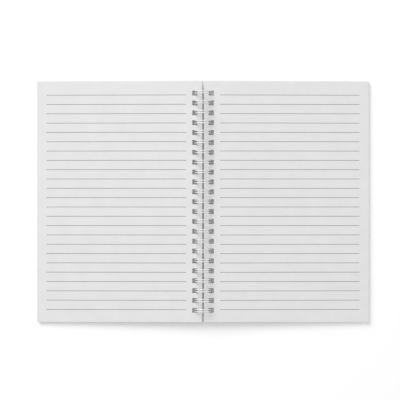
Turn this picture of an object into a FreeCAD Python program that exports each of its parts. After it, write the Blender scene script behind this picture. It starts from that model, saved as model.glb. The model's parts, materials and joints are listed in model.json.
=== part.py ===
import FreeCAD, Part
import math
import os

# An open notebook bound with twin-loop wire, lying on a table, in millimetres.
# X runs to the right, Y to the heads of the pages and Z up. The origin is on the
# table, under the middle of the gutter.

# Leaves and covers
leaf_width = 141.7
leaf_height = 206.8
leaves_thickness = 2.47
cover_thickness = 0.5
stack_air = 0.03

# Fold line pressed into the outside of each cover
score_from_spine = 16.0
score_width = 0.9
score_depth = 0.15

# Punching along the spine edge
hole_pitch = 25.4 / 3
hole_margin = 4.08
hole_end_margin = 8.0

# Wire
wire_dia = 0.9
strand_spacing = 1.9
loop_offset = 0.4
bar_bend_radius = 1.2
seam_gap = 1.0
cut_end_overrun = 1.6
wire_sides = 6
arc_steps = 14

# Fits between the wire and the sheets
spine_gap = 0.86
face_gap = 0.15
ring_clearance = 0.1
hole_play = 2.35
hole_end_play = 0.3

# The two halves, measured from the ring's axis: across the page, and down from it
leaves_top = face_gap
leaves_bottom = leaves_top + leaves_thickness
cover_top = leaves_bottom + stack_air
cover_bottom = cover_top + cover_thickness
fore_edge = spine_gap + leaf_width
hole_inner = spine_gap + hole_margin

# The wire's section has as many sides as wire_sides and the area of the round wire
half_side = math.pi / wire_sides
wire_radius = wire_dia / 2
section_corner = wire_radius * math.sqrt(half_side * 2 / math.sin(half_side * 2))
section_flat = section_corner * math.cos(half_side)

# The ring clears the holes' inner walls through both covers, so its size follows them
half_step = math.pi / arc_steps
ring_inside = math.hypot(hole_inner, cover_bottom) + ring_clearance
ring_radius = (ring_inside + section_flat) / math.cos(half_step)
ring_outside = ring_radius + section_corner

# The holes clear the wire
hole_outer = ring_outside + hole_play
hole_height = strand_spacing + 2 * (section_corner + loop_offset + hole_end_play)
hole_count = int((leaf_height - 2 * hole_end_margin) / hole_pitch) + 1
hole_rows = [(i - (hole_count - 1) / 2) * hole_pitch for i in range(hole_count)]

# The seam is at the bottom of the ring: spine bars on one side of it, tips on the other
down = math.radians(270)
seam_half = math.asin((seam_gap + wire_dia) / 2 / ring_radius)
bar_angle = down - seam_half
tip_angle = down + seam_half - 2 * math.pi

along_spine = FreeCAD.Vector(0, 1, 0)


def on_ring(angle, y):
    """A point of the wire's centre line about the ring's axis, and the way outward there."""
    outward = FreeCAD.Vector(math.cos(angle), 0, math.sin(angle))
    return outward * ring_radius + along_spine * y, outward


def bend_offset(radius):
    """How far from a square corner the bend's two 45 degree corners lie."""
    return radius * (1 - math.tan(math.pi / 8))


def wire_route():
    """The corners of the whole wire, loop after loop, from one cut end to the other."""
    tip_offset = bend_offset(strand_spacing / 2)
    bar_offset = bend_offset(bar_bend_radius)
    tip_turn = tip_offset / ring_radius
    bar_turn = bar_offset / ring_radius
    arc_start = bar_angle - bar_turn
    arc_end = tip_angle + tip_turn
    arc = [arc_start + (arc_end - arc_start) * i / arc_steps for i in range(arc_steps + 1)]
    route = []
    for loop, row in enumerate(hole_rows):
        near = row + loop_offset - strand_spacing / 2
        far = row + loop_offset + strand_spacing / 2
        if loop == 0:
            route.append((bar_angle, near - cut_end_overrun))
        route.append((bar_angle, near - bar_offset))
        route += [(angle, near) for angle in arc]
        route.append((tip_angle, near + tip_offset))
        route.append((tip_angle, far - tip_offset))
        route += [(angle, far) for angle in reversed(arc)]
        route.append((bar_angle, far + bar_offset))
        if loop == len(hole_rows) - 1:
            route.append((bar_angle, far + cut_end_overrun))
    return [on_ring(angle, y) for angle, y in route]


def wire_sections(route):
    """The wire's section at each corner, carried along and mitred, so that its sides stay flat."""
    points = [point for point, outward in route]
    runs = [(b - a).normalize() for a, b in zip(points, points[1:])]
    across = route[0][1].cross(runs[0]).normalize()
    upright = runs[0].cross(across)
    section = []
    for i in range(wire_sides):
        turn = 2 * half_side * i
        rim = across * math.cos(turn) + upright * math.sin(turn)
        section.append(points[0] + rim * section_corner)
    sections = [section]
    for i, run in enumerate(runs):
        mitre = run if i == len(runs) - 1 else (run + runs[i + 1]).normalize()
        end = points[i + 1]
        carried = []
        for corner in sections[-1]:
            travel = (end - corner).dot(mitre) / run.dot(mitre)
            carried.append(corner + run * travel)
        sections.append(carried)
    return sections


# The ring stands on the table on its lowest corner, and each half slopes from the ring
# to its own fore edge
wire_corners = wire_sections(wire_route())
axis_height = -min(corner.z for section in wire_corners for corner in section)
reach = math.hypot(fore_edge, cover_bottom)
tilt = math.asin(axis_height / reach) - math.atan2(cover_bottom, fore_edge)
axis_point = FreeCAD.Vector(0, 0, axis_height)


def rectangle(x0, x1, y0, y1, z):
    """A closed rectangle in a level plane."""
    corners = [(x0, y0), (x1, y0), (x1, y1), (x0, y1), (x0, y0)]
    return Part.makePolygon([FreeCAD.Vector(x, y, z) for x, y in corners])


def punched_slab(side, top, bottom):
    """A flat stack of sheets on one side of the axis, punched along its spine edge."""
    level = axis_height - bottom
    edges = sorted([side * spine_gap, side * fore_edge])
    walls = sorted([side * hole_inner, side * hole_outer])
    outline = rectangle(edges[0], edges[1], -leaf_height / 2, leaf_height / 2, level)
    wires = [outline]
    for row in hole_rows:
        wires.append(rectangle(walls[0], walls[1], row - hole_height / 2, row + hole_height / 2, level))
    sheet = Part.makeFace(wires, "Part::FaceMakerCheese")
    return sheet.extrude(FreeCAD.Vector(0, 0, bottom - top))


def score_line(side):
    """The round-bottomed groove of the fold line, as a solid to cut away."""
    radius = (score_width ** 2 / 4 + score_depth ** 2) / (2 * score_depth)
    x = side * (spine_gap + score_from_spine)
    z = axis_height - cover_bottom + score_depth - radius
    start = FreeCAD.Vector(x, -leaf_height, z)
    return Part.makeCylinder(radius, 2 * leaf_height, start, along_spine)


def laid_down(shape, side):
    """Turns a half about the ring's axis until its fore edge meets the table."""
    shape.rotate(axis_point, along_spine, side * math.degrees(tilt))
    return shape


def leaves(side):
    """The leaves of one half, as one solid."""
    return laid_down(punched_slab(side, leaves_top, leaves_bottom), side)


def cover(side):
    """The stiff cover under the leaves of one half."""
    board = punched_slab(side, cover_top, cover_bottom)
    return laid_down(board.cut(score_line(side)), side)


def flat_face(corners):
    """A flat face through its corners in order."""
    return Part.Face(Part.makePolygon(corners + corners[:1]))


def twin_loop_wire():
    """The whole binding wire as one closed solid of flat-sided runs."""
    faces = [flat_face(wire_corners[0]), flat_face(wire_corners[-1])]
    for first, second in zip(wire_corners, wire_corners[1:]):
        for i in range(wire_sides):
            j = (i + 1) % wire_sides
            faces.append(flat_face([first[i], first[j], second[j], second[i]]))
    shell = Part.makeShell(faces)
    shell.sewShape()
    solid = Part.makeSolid(shell)
    if solid.Volume < 0:
        solid.reverse()
    solid.translate(axis_point)
    return solid


def main():
    """Builds every piece and writes one file for each."""
    pieces = {
        "binding_wire": twin_loop_wire(),
        "front_cover": cover(-1),
        "front_leaves": leaves(-1),
        "rear_leaves": leaves(1),
        "back_cover": cover(1),
    }
    os.makedirs("parts", exist_ok=True)
    for name, shape in pieces.items():
        shape.exportStep(f"parts/{name}.step")
        box = shape.BoundBox
        print(name, "valid", shape.isValid(), "solids", len(shape.Solids), "faces", len(shape.Faces))
        print("  from", round(box.XMin, 3), round(box.YMin, 3), round(box.ZMin, 3))
        print("  to", round(box.XMax, 3), round(box.YMax, 3), round(box.ZMax, 3))
    print("ring axis height", round(axis_height, 6), "inside radius", round(ring_inside, 4))
    print("tilt of a half in degrees", round(math.degrees(tilt), 6), "holes", hole_count)
    print("hole from", round(hole_inner, 3), "to", round(hole_outer, 3), "by", round(hole_height, 3))


main()
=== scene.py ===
import bpy
import json
import math
import numpy as np
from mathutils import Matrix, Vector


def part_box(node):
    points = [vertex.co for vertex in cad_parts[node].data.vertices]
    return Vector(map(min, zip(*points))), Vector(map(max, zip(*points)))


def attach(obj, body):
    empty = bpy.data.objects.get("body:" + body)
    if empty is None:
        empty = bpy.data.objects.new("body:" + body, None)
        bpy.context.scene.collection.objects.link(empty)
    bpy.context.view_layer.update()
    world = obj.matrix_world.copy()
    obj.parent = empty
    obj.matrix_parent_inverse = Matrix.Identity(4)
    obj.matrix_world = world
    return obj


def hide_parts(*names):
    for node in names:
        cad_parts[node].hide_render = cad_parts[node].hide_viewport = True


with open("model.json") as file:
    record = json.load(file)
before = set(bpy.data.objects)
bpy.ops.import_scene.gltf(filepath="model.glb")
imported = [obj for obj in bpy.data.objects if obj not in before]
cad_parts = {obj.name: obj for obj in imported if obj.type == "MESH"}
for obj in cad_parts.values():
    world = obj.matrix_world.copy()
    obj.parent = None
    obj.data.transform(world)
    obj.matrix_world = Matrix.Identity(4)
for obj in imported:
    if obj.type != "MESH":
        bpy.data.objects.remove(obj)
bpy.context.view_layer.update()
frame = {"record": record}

mm = 0.001

# the covers turn about the ring's axis, and their travel to a closed book tells each half's slope
jointByName = {joint["name"]: joint for joint in frame["record"]["behaviour"]["joints"]}
coverJoint = jointByName["front_cover_turn"]
axisHeight = coverJoint["pos_m"][2]
slope = math.radians(coverJoint["range_deg"][1] - 180) / 2
slopeCos, slopeSin = math.cos(slope), math.sin(slope)

# punching shared by every sheet
punching = {
    "holes": 23,
    "pitch": 25.4 / 3 * mm,
    "inner": 4.94 * mm,         # a hole's walls, measured across the page from the ring's axis
    "outer": 9.396 * mm,
    "height": 4.29 * mm,
    "cornerRadius": 0.35 * mm,
    "stripMargin": 1.1 * mm,    # plain paper beside the holes that shares their grid
}
holeRows = (np.arange(punching["holes"]) - (punching["holes"] - 1) / 2) * punching["pitch"]


# Reads a right-hand half's fore edge, spine edge, top and underside from its box. The box's
# corners are those four distances turned by the slope, so the four straight equations
# that say so are solved for them.
def unfold(node):
    low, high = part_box(node)
    matrix = np.array([
        [slopeCos, 0, -slopeSin, 0],
        [0, slopeCos, 0, -slopeSin],
        [0, slopeSin, slopeCos, 0],
        [slopeSin, 0, 0, slopeCos],
    ])
    sides = np.array([high.x, low.x, axisHeight - high.z, axisHeight - low.z])
    fore, spine, top, bottom = np.linalg.solve(matrix, sides)
    return {"fore": fore, "spine": spine, "top": top, "bottom": bottom, "head": high.y}


leafBlock = unfold("rear_leaves")
coverBlock = unfold("back_cover")
print("frame read: slope", round(math.degrees(slope), 3), "degrees,",
      round(leafBlock["fore"] / mm, 2), "mm to the fore edge")


# Puts whole arrays of points and faces into a mesh object at the origin. Edges that turn
# by more than the sharp angle stay crisp.
def newPiece(name, points, faces, sharpAngle):
    mesh = bpy.data.meshes.new(name)
    mesh.from_pydata(points.tolist(), [], faces)
    mesh.polygons.foreach_set("use_smooth", np.ones(len(mesh.polygons), bool))
    mesh.set_sharp_from_angle(angle=math.radians(sharpAngle))
    mesh.update()
    piece = bpy.data.objects.new(name, mesh)
    bpy.context.scene.collection.objects.link(piece)
    return piece


# Turns a place on a half, measured across the page from the ring's axis and down from it,
# into the notebook's own frame: a turn by the slope about the axis.
def layDown(side, across, along, depth):
    x = side * (across * slopeCos - depth * slopeSin)
    z = axisHeight - across * slopeSin - depth * slopeCos
    return np.stack([x, np.broadcast_to(along, x.shape), z], -1)


# The outline of one hole about its own middle: on each side the corner's middle at 45
# degrees, the end of the corner, the side's middle and the start of the next corner.
def holeOutline():
    halfAcross = (punching["outer"] - punching["inner"]) / 2
    halfAlong = punching["height"] / 2
    radius = punching["cornerRadius"]
    nick = radius * (1 - math.sqrt(0.5))
    run = np.array([(1, 0), (0, 1), (-1, 0), (0, -1)], float)
    out = np.array([(0, -1), (1, 0), (0, 1), (-1, 0)], float)
    reach = np.array([halfAcross, halfAlong, halfAcross, halfAlong])[:, None]
    off = reach[::-1]
    points = [out * (off - nick) - run * (reach - nick), out * off - run * (reach - radius),
              out * off, out * off + run * (reach - radius)]
    return np.stack(points, 1).reshape(-1, 2)


# One punched sheet, laid flat. Lines across and along the page make a grid. Each hole has
# a cell of four by four squares, which gives way to sixteen faces between the cell's edge
# and the hole's outline. Returns places across and along, faces, the rim and the holes.
def sheetLayout(block, bodyLines):
    holes, pitch = punching["holes"], punching["pitch"]
    stripStart = punching["inner"] - punching["stripMargin"]
    stripEnd = punching["outer"] + punching["stripMargin"]
    body = stripEnd + (block["fore"] - stripEnd) * np.asarray(bodyLines)
    acrossLines = np.concatenate([[block["spine"]], np.linspace(stripStart, stripEnd, 5), body])
    cellEnd = holeRows[-1] + pitch / 2
    margin = np.linspace(cellEnd, block["head"], 3)[1:]
    alongLines = np.concatenate([
        -margin[::-1], np.linspace(-cellEnd, cellEnd, 4 * holes + 1), margin])
    wide, tall = len(acrossLines), len(alongLines)
    index = np.arange(wide * tall).reshape(wide, tall)

    # plain squares, left out where the cells of the holes are
    i, j = np.meshgrid(np.arange(wide - 1), np.arange(tall - 1), indexing="ij")
    plain = ~((i >= 1) & (i < 5) & (j >= 2) & (j < 2 + 4 * holes))
    i, j = i[plain], j[plain]
    squares = np.stack([index[i, j], index[i + 1, j], index[i + 1, j + 1], index[i, j + 1]], 1)

    # each cell's edge, sixteen points round from its first corner, and its hole's outline
    q = np.arange(4)
    edgeAcross = np.concatenate([1 + q, np.full(4, 5), 5 - q, np.full(4, 1)])
    edgeAlong = np.concatenate([np.full(4, 0), q, np.full(4, 4), 4 - q])
    cellEdge = index[edgeAcross, 2 + 4 * np.arange(holes)[:, None] + edgeAlong]
    outline = holeOutline()
    middle = (punching["outer"] + punching["inner"]) / 2
    holeIndex = wide * tall + np.arange(16 * holes).reshape(holes, 16)
    rings = np.stack([cellEdge, np.roll(cellEdge, -1, axis=1),
                      np.roll(holeIndex, -1, axis=1), holeIndex], 2).reshape(-1, 4)

    across = np.concatenate([np.repeat(acrossLines, tall), np.tile(middle + outline[:, 0], holes)])
    along = np.concatenate([np.tile(alongLines, wide), (holeRows[:, None] + outline[:, 1]).ravel()])
    faces = np.concatenate([squares, rings])
    rim = np.concatenate([index[:, 0], index[-1, 1:], index[-2::-1, -1], index[0, -2:0:-1]])

    # grid points inside the cells belong to no face and are dropped
    used = np.unique(faces)
    renumber = np.zeros(len(across), int)
    renumber[used] = np.arange(len(used))
    return {"across": across[used], "along": along[used], "faces": renumber[faces],
            "rim": renumber[rim], "holes": renumber[holeIndex]}


# The faces of one closed sheet: its top, its underside turned over, and the walls of its
# outer rim and of each hole. On the left every face is turned round.
def sheetFaces(layout, side):
    count = len(layout["across"])
    top, rim, hole = layout["faces"], layout["rim"], layout["holes"]
    nextRim, nextHole = np.roll(rim, -1), np.roll(hole, -1, axis=1)
    edge = np.stack([rim + count, nextRim + count, nextRim, rim], 1)
    walls = np.stack([nextHole + count, hole + count, hole, nextHole], 2).reshape(-1, 4)
    faces = np.concatenate([top, top[:, ::-1] + count, edge, walls])
    return faces if side > 0 else faces[:, ::-1]


# leaves
leafSet = {
    "count": 26,
    "paper": 0.080 * mm,        # one leaf's thickness, the rest of its share is air
    "slipAcross": 0.12 * mm,    # how far a leaf may sit back from the fore edge
    "leftLean": 0.55 * mm,      # the lowest left-hand leaf lies this much nearer the ring
    "slipAlong": 0.10 * mm,
    "foreLift": 0.05 * mm,      # the top leaf's gentle lift at its fore edge
    "ripple": 0.022 * mm,
    "endShare": 0.35,           # how much the lift differs from one end of the page to the other
    "endLength": 40 * mm,       # lengths that set how fast the lift and the waves change
    "waveLength": 31 * mm,
    "slantAcross": 23 * mm,
    "slantAlong": 60 * mm,
    "bodyLines": (0.12, 0.27, 0.42, 0.57, 0.71, 0.84, 0.94, 1.0),
}


# How far the top leaf stands off the stack: the square of the distance to the fore edge,
# stronger at one end of the page, and two slow waves that die out at the spine.
def leafLift(across, along, seed):
    t = (across - leafBlock["spine"]) / (leafBlock["fore"] - leafBlock["spine"])
    ends = 1 + leafSet["endShare"] * (np.cos(along / leafSet["endLength"] + seed) - 1)
    slant = across / leafSet["slantAcross"] + along / leafSet["slantAlong"]
    waves = 2 + np.sin(along / leafSet["waveLength"] + seed) + np.sin(slant + 2 * seed)
    return leafSet["foreLift"] * t ** 2 * ends + leafSet["ripple"] * waves * np.clip(t * 4, 0, 1)


# All the leaves of one half, each a thin closed sheet with its own small slip. The lift
# of the top leaf fades out downwards with the square of what is left of the stack.
def makeLeaves(name, node, side, seed, lean):
    count = leafSet["count"]
    layout = sheetLayout(leafBlock, leafSet["bodyLines"])
    rng = np.random.default_rng(seed)
    back = leafSet["slipAcross"] * rng.random(count)
    shift = leafSet["slipAlong"] * (rng.random(count) * 2 - 1)
    order = np.arange(count)
    share = (leafBlock["bottom"] - leafBlock["top"]) / count
    depth = leafBlock["top"] + order * share
    nearer = back + lean * order / (count - 1)
    across = layout["across"] - nearer[:, None]
    shorter = 1 - leafSet["slipAlong"] / leafBlock["head"]
    along = layout["along"] * shorter + shift[:, None]
    fade = (1 - order / (count - 1)) ** 2
    lift = leafLift(across, along, seed) * fade[:, None]
    upper = layDown(side, across, along, depth[:, None] - lift)
    lower = layDown(side, across, along, depth[:, None] - lift + leafSet["paper"])
    points = np.concatenate([upper, lower], 1)
    faces = sheetFaces(layout, side) + (order * points.shape[1])[:, None, None]
    piece = newPiece(name, points.reshape(-1, 3), faces.reshape(-1, 4).tolist(), sharpAngle=35)
    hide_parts(node)
    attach(piece, node)
    return piece


leftLeaves = makeLeaves("leftLeaves", "front_leaves", -1, 3, leafSet["leftLean"])
rightLeaves = makeLeaves("rightLeaves", "rear_leaves", 1, 8, 0.0)
print("leaves made:", leafSet["count"], "on each side")


# covers
coverSet = {
    "scoreFromSpine": 16.0 * mm,
    "scoreWidth": 0.9 * mm,
    "scoreDepth": 0.15 * mm,
    "scoreLines": 7,            # points across the fold line
    "edgeRound": 0.09 * mm,
    "edgeSegments": 2,
    "edgeAngle": 50,            # edges that turn by more degrees than this are rounded
    "bodyLines": (0.3, 0.65, 1.0),
}


# A stiff board under the leaves, with its fold line pressed in from outside: the groove's
# depth falls off with the square of the distance from its middle.
def makeCover(name, node, side):
    score = coverBlock["spine"] + coverSet["scoreFromSpine"]
    half = coverSet["scoreWidth"] / 2
    stripEnd = punching["outer"] + punching["stripMargin"]
    scoreAcross = score + half * np.linspace(-1, 1, coverSet["scoreLines"])
    groove = (scoreAcross - stripEnd) / (coverBlock["fore"] - stripEnd)
    layout = sheetLayout(coverBlock, np.concatenate([groove, coverSet["bodyLines"]]))
    across, along = layout["across"], layout["along"]
    away = np.clip(np.abs(across - score) / half, 0, 1)
    pressed = coverSet["scoreDepth"] * (1 - away ** 2)
    upper = layDown(side, across, along, np.full(len(across), coverBlock["top"]))
    lower = layDown(side, across, along, coverBlock["bottom"] - pressed)
    points = np.concatenate([upper, lower])
    piece = newPiece(name, points, sheetFaces(layout, side).tolist(), sharpAngle=40)
    rounding = piece.modifiers.new("edges", "BEVEL")
    rounding.width = coverSet["edgeRound"]
    rounding.segments = coverSet["edgeSegments"]
    rounding.limit_method = "ANGLE"
    rounding.angle_limit = math.radians(coverSet["edgeAngle"])
    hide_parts(node)
    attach(piece, node)
    return piece


frontCover = makeCover("frontCover", "front_cover", -1)
backCover = makeCover("backCover", "back_cover", 1)
print("covers made")


# binding wire
wireSet = {
    "radius": 0.45 * mm,
    "spacing": 1.9 * mm,        # between the two strands of a loop
    "offset": 0.4 * mm,         # the loops sit this far towards the heads of the pages
    "barBend": 1.2 * mm,
    "seam": 1.0 * mm,           # between the spine bars and the tips, at the bottom of the ring
    "cutEnd": 0.4 * mm,         # plain wire past the last bend
    "lean": 0.16 * mm,          # how far the top of a loop may lean along the spine
    "around": 12,               # points round the wire, and along each stretch of a loop
    "alongStrand": 34,
    "alongBend": 7,
    "alongTip": 13,
}
ringRadius = axisHeight - wireSet["radius"]    # the ring stands on the table
seamHalf = math.asin((wireSet["seam"] / 2 + wireSet["radius"]) / ringRadius)


# One double loop unrolled flat: distance round the ring from the spine bars, and place
# along the spine. Quarter circles leave the bars, and a half circle joins the strands.
def loopPath():
    half, bend = wireSet["spacing"] / 2, wireSet["barBend"]
    total = ringRadius * 2 * (math.pi - seamHalf)
    quarter = np.linspace(0, math.pi / 2, wireSet["alongBend"])
    tip = np.linspace(-math.pi / 2, math.pi / 2, wireSet["alongTip"])
    strand = np.linspace(bend, total - half, wireSet["alongStrand"])[1:-1]
    out = np.stack([bend - bend * np.cos(quarter), bend * np.sin(quarter) - half - bend], 1)
    over = np.stack([strand, np.full(len(strand), -half)], 1)
    turn = np.stack([total - half + half * np.cos(tip), half * np.sin(tip)], 1)
    path = np.concatenate([out, over, turn, over[::-1] * (1, -1), out[::-1] * (1, -1)])
    return path[:, 0], path[:, 1]


# The whole wire: each loop's flat path follows the last, rolled up round the ring's axis.
# The tube's section is spanned by the ring's outward direction and by the cross product
# of the wire's run with it, so it never twists.
def makeWire():
    flatRound, flatRise = loopPath()
    rng = np.random.default_rng(11)
    lean = wireSet["lean"] * (rng.random(len(holeRows)) * 2 - 1)
    angle = 1.5 * math.pi - seamHalf - flatRound / ringRadius
    height = (1 + np.sin(angle)) / 2
    rows = holeRows + wireSet["offset"]
    place = (rows[:, None] + flatRise + lean[:, None] * height).ravel()
    angle = np.tile(angle, len(rows))
    angle = np.concatenate([angle[:1], angle, angle[-1:]])
    place = np.concatenate([place[:1] - wireSet["cutEnd"], place, place[-1:] + wireSet["cutEnd"]])
    outward = np.stack([np.cos(angle), np.zeros(len(angle)), np.sin(angle)], 1)
    path = outward * ringRadius + np.array([0, 0, axisHeight])
    path[:, 1] = place
    run = np.gradient(path, axis=0)
    sideways = np.cross(run, outward)
    sideways /= np.linalg.norm(sideways, axis=1)[:, None]

    around = wireSet["around"]
    turn = 2 * math.pi * np.arange(around)[:, None] / around
    rim = np.cos(turn) * outward[:, None] + np.sin(turn) * sideways[:, None]
    points = path[:, None] + wireSet["radius"] * rim
    ring = np.arange(len(path) * around).reshape(-1, around)
    nextRing = np.roll(ring, -1, axis=1)
    quads = np.stack([ring[:-1], nextRing[:-1], nextRing[1:], ring[1:]], 2).reshape(-1, 4)
    faces = quads.tolist() + [ring[0, ::-1].tolist(), ring[-1].tolist()]
    piece = newPiece("bindingWire", points.reshape(-1, 3), faces, sharpAngle=60)
    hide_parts("binding_wire")
    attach(piece, "binding")
    return piece


bindingWire = makeWire()
print("wire made:", len(holeRows), "double loops in one wire")


# Small helpers for the materials. An input is either another node's socket, which is
# linked, or a plain value.
def addNode(tree, kind, settings=None, inputs=None):
    node = tree.nodes.new(kind)
    for key, value in (settings or {}).items():
        setattr(node, key, value)
    for key, value in (inputs or {}).items():
        if isinstance(value, bpy.types.NodeSocket):
            tree.links.new(value, node.inputs[key])
        else:
            node.inputs[key].default_value = value
    return node


def addMath(tree, operation, *values):
    return addNode(tree, "ShaderNodeMath", {"operation": operation}, dict(enumerate(values))).outputs[0]


def addRange(tree, value, low, high, start, end):
    inputs = {"Value": value, "From Min": low, "From Max": high, "To Min": start, "To Max": end}
    return addNode(tree, "ShaderNodeMapRange", None, inputs).outputs["Result"]


def addNoise(tree, place, scale, detail):
    inputs = {"Vector": place, "Scale": scale, "Detail": detail}
    return addNode(tree, "ShaderNodeTexNoise", None, inputs).outputs["Fac"]


def addMix(tree, factor, first, second):
    node = addNode(tree, "ShaderNodeMix", {"data_type": "RGBA"}, {0: factor})
    for socket, value in ((node.inputs[6], first), (node.inputs[7], second)):
        if isinstance(value, bpy.types.NodeSocket):
            tree.links.new(value, socket)
        else:
            socket.default_value = value
    return node.outputs[2]


# a noise keeps mostly between these two values
noiseSpan = (0.3, 0.7)


def grey(value):
    return (value, value, value, 1.0)


def newMaterial(name, roughness):
    material = bpy.data.materials.new(name)
    material.use_nodes = True
    shader = material.node_tree.nodes["Principled BSDF"]
    shader.inputs["Roughness"].default_value = roughness
    place = addNode(material.node_tree, "ShaderNodeTexCoord").outputs["Object"]
    return material, material.node_tree, shader, place


# Shows a height between nought and one as a bump of the given depth.
def addBump(tree, shader, height, depth):
    bump = addNode(tree, "ShaderNodeBump", None, {"Height": height, "Distance": depth, "Strength": 1.0})
    tree.links.new(bump.outputs["Normal"], shader.inputs["Normal"])


# ruled paper
paperSet = {
    "tone": 0.695,
    "mottle": 0.012,            # how much cloudy patches differ
    "cloudScale": 90,           # noise cells to a metre
    "fibre": 0.02,              # how much single fibres differ
    "fibreScale": 1900,
    "fibreStretch": 3.2,
    "fibreSpan": (0.35, 0.75),  # noise from where a fibre starts to show to where it shows most
    "fibreDark": 0.4,           # a fibre's darkest tone, as a share of the paper's
    "ink": 0.14,
    "inkScale": 1400,
    "inkLeast": 0.86,           # the thinnest printing of a line
    "lineWidth": 0.42 * mm,
    "lineSoft": 0.04 * mm,
    "linePitch": 8.0 * mm,
    "lineCount": 24,
    "firstLine": 91.47 * mm,    # above the page's middle
    "lineStart": 14.5 * mm,     # from the gutter
    "lineEnd": 134.4 * mm,
    "roughness": 0.86,
    "bump": 0.012 * mm,
}


# Rule lines from the page's own place: the distance to the nearest whole number of
# pitches below the first line, cut off at the margins and past the last line.
def ruleLines(tree, place):
    split = addNode(tree, "ShaderNodeSeparateXYZ", None, {"Vector": place})
    x, y = split.outputs["X"], split.outputs["Y"]
    pitch, soft = paperSet["linePitch"], paperSet["lineSoft"]
    below = addMath(tree, "SUBTRACT", paperSet["firstLine"], y)
    steps = addMath(tree, "MULTIPLY_ADD", below, 1 / pitch, 0.5)
    apart = addMath(tree, "ABSOLUTE", addMath(tree, "SUBTRACT", addMath(tree, "FRACT", steps), 0.5))
    half = paperSet["lineWidth"] / 2
    line = addRange(tree, apart, (half - soft) / pitch, (half + soft) / pitch, 1, 0)
    middle = (paperSet["lineCount"] - 1) / 2
    fromMiddle = addMath(tree, "ABSOLUTE", addMath(tree, "MULTIPLY_ADD", below, 1 / pitch, -middle))
    onPage = addMath(tree, "LESS_THAN", fromMiddle, paperSet["lineCount"] / 2)
    outwards = addMath(tree, "ABSOLUTE", x)
    past = addRange(tree, outwards, paperSet["lineStart"] - soft, paperSet["lineStart"] + soft, 0, 1)
    before = addRange(tree, outwards, paperSet["lineEnd"] - soft, paperSet["lineEnd"] + soft, 1, 0)
    printing = addNoise(tree, place, paperSet["inkScale"], 2)
    density = addRange(tree, printing, *noiseSpan, paperSet["inkLeast"], 1.0)
    inside = addMath(tree, "MULTIPLY", addMath(tree, "MULTIPLY", past, before), onPage)
    return addMath(tree, "MULTIPLY", addMath(tree, "MULTIPLY", line, inside), density)


# White writing paper: cloudy tone, fine fibres that also give the bump, and the rule lines.
def makePaper():
    material, tree, shader, place = newMaterial("ruledPaper", paperSet["roughness"])
    tone, mottle, fibre = paperSet["tone"], paperSet["mottle"], paperSet["fibre"]
    clouds = addRange(tree, addNoise(tree, place, paperSet["cloudScale"], 3), *noiseSpan, 0, 1)
    plain = addMix(tree, clouds, grey(tone - mottle), grey(tone + mottle))
    scale = (1, paperSet["fibreStretch"], 1)
    stretched = addNode(tree, "ShaderNodeMapping", None, {"Vector": place, "Scale": scale})
    felt = addNoise(tree, stretched.outputs["Vector"], paperSet["fibreScale"], 3)
    darker = addRange(tree, felt, *paperSet["fibreSpan"], 0, fibre / tone)
    sheet = addMix(tree, darker, plain, grey(tone * paperSet["fibreDark"]))
    colour = addMix(tree, ruleLines(tree, place), sheet, grey(paperSet["ink"]))
    tree.links.new(colour, shader.inputs["Base Color"])
    addBump(tree, shader, felt, paperSet["bump"])
    return material


# white coated wire
coatSet = {
    "tone": 0.72,
    "variation": 0.015,
    "patchScale": 420,
    "roughness": 0.34,
    "roughnessSpread": 0.06,
    "bump": 0.006 * mm,
    "bumpScale": 1600,
}


# Smooth plastic coating, a little uneven in tone and gloss.
def makeCoating():
    material, tree, shader, place = newMaterial("whiteWireCoating", coatSet["roughness"])
    tone, spread = coatSet["tone"], coatSet["variation"]
    patches = addRange(tree, addNoise(tree, place, coatSet["patchScale"], 2), *noiseSpan, 0, 1)
    colour = addMix(tree, patches, grey(tone - spread), grey(tone + spread))
    tree.links.new(colour, shader.inputs["Base Color"])
    middle, spread = coatSet["roughness"], coatSet["roughnessSpread"]
    rough = addRange(tree, patches, 0, 1, middle - spread, middle + spread)
    tree.links.new(rough, shader.inputs["Roughness"])
    addBump(tree, shader, addNoise(tree, place, coatSet["bumpScale"], 2), coatSet["bump"])
    return material


# pale grey card
cardSet = {
    "tone": (0.66, 0.66, 0.65),
    "fleckTone": (0.42, 0.41, 0.39),
    "flecks": 0.28,             # how strongly a fleck shows, and the noise from where it does
    "fleckSpan": (0.54, 0.66),
    "clouds": 0.05,
    "cloudScale": 60,
    "fibreScale": 520,
    "fibreStretch": 5,
    "roughness": 0.72,
    "bump": 0.03 * mm,
}


# Card is a felt of short fibres: two noises stretched across each other, and where both
# are high a darker fleck shows.
def makeCard():
    material, tree, shader, place = newMaterial("greyCard", cardSet["roughness"])
    stretch = cardSet["fibreStretch"]
    noises = []
    for scale in ((stretch, 1, 1), (1, stretch, 1)):
        turned = addNode(tree, "ShaderNodeMapping", None, {"Vector": place, "Scale": scale})
        noises.append(addNoise(tree, turned.outputs["Vector"], cardSet["fibreScale"], 3))
    felt = addMath(tree, "MULTIPLY", addMath(tree, "ADD", noises[0], noises[1]), 0.5)
    flecks = addRange(tree, felt, *cardSet["fleckSpan"], 0, cardSet["flecks"])
    patches = addNoise(tree, place, cardSet["cloudScale"], 3)
    clouds = addRange(tree, patches, *noiseSpan, 0, cardSet["clouds"])
    base = addMix(tree, clouds, cardSet["tone"] + (1.0,), cardSet["fleckTone"] + (1.0,))
    colour = addMix(tree, flecks, base, cardSet["fleckTone"] + (1.0,))
    tree.links.new(colour, shader.inputs["Base Color"])
    addBump(tree, shader, felt, cardSet["bump"])
    return material


paper = makePaper()
for piece in (leftLeaves, rightLeaves):
    piece.data.materials.append(paper)
card = makeCard()
for piece in (frontCover, backCover):
    piece.data.materials.append(card)
bindingWire.data.materials.append(makeCoating())
print("materials made: ruled paper, grey card, white coating")


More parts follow.
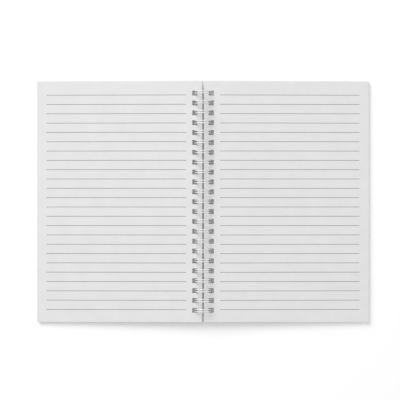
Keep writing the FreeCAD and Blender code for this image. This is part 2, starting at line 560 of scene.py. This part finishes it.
# table top and light
studioSet = {
    "floorTone": 0.93,
    "floorRoughness": 0.9,
    "floorShine": 0.2,
    "floorMottle": 0.01,
    "floorScale": 2,
    "floorSize": 4.0,
    "floorGap": 0.05 * mm,
    "sky": 0.50,
    "lights": {                 # power in watts, disk size and place in metres
        "key": (59.5, 2.2, (-1.33, 1.96, 1.85)),
        "overhead": (10.7, 1.0, (-0.05, 0.05, 2.0)),
    },
}


# The table top is one flat square, a hair under the notebook.
def makeFloor():
    half = studioSet["floorSize"] / 2
    level = -studioSet["floorGap"]
    corners = np.array([(-1, -1), (1, -1), (1, 1), (-1, 1)]) * half
    points = np.insert(corners, 2, level, axis=1)
    floor = newPiece("floor", points, [(0, 1, 2, 3)], sharpAngle=30)
    material, tree, shader, place = newMaterial("paleFloor", studioSet["floorRoughness"])
    tone, mottle = studioSet["floorTone"], studioSet["floorMottle"]
    clouds = addRange(tree, addNoise(tree, place, studioSet["floorScale"], 2), *noiseSpan, 0, 1)
    colour = addMix(tree, clouds, grey(tone - mottle), grey(tone + mottle))
    tree.links.new(colour, shader.inputs["Base Color"])
    shader.inputs["Specular IOR Level"].default_value = studioSet["floorShine"]
    floor.data.materials.append(material)


# An even white sky and two round soft lights. Each light faces the origin: it leans from
# straight down by the angle between its place and the upright, towards its own side.
def makeLight():
    world = bpy.data.worlds.new("studio")
    world.use_nodes = True
    backdrop = world.node_tree.nodes["Background"]
    backdrop.inputs["Color"].default_value = grey(1.0)
    backdrop.inputs["Strength"].default_value = studioSet["sky"]
    bpy.context.scene.world = world
    for name, (power, size, place) in studioSet["lights"].items():
        light = bpy.data.lights.new(name, "AREA")
        light.shape = "DISK"
        light.size = size
        light.energy = power
        lamp = bpy.data.objects.new(name, light)
        lamp.location = place
        lean = math.acos(place[2] / math.dist(place, (0, 0, 0)))
        lamp.rotation_euler = (lean, 0, math.atan2(place[0], -place[1]))
        bpy.context.scene.collection.objects.link(lamp)


# camera straight above, so that a page's millimetre covers the photograph's share of a pixel
cameraSet = {
    "distance": 1.065,          # above the pages
    "pageHeight": 6.7 * mm,
    "imagePixels": 400,
    "pixelsPerMetre": 1167.7,
    "gutterPixel": 203.0,       # where the gutter and the page's middle show in the image
    "middlePixel": 201.7,
    "sensor": 36.0,
}


# The lens is as long as makes the sensor see the image's width at the height of the pages.
def makeCamera():
    lens = bpy.data.cameras.new("camera")
    lens.sensor_width = cameraSet["sensor"]
    half = cameraSet["imagePixels"] / 2
    width = cameraSet["imagePixels"] / cameraSet["pixelsPerMetre"]
    lens.lens = cameraSet["sensor"] * cameraSet["distance"] / width
    camera = bpy.data.objects.new("camera", lens)
    camera.location = (
        (half - cameraSet["gutterPixel"]) / cameraSet["pixelsPerMetre"],
        (cameraSet["middlePixel"] - half) / cameraSet["pixelsPerMetre"],
        cameraSet["pageHeight"] + cameraSet["distance"],
    )
    bpy.context.scene.collection.objects.link(camera)
    bpy.context.scene.camera = camera


makeFloor()
makeLight()
makeCamera()
bpy.context.scene.view_settings.view_transform = "Standard"
print("floor, light and camera made")
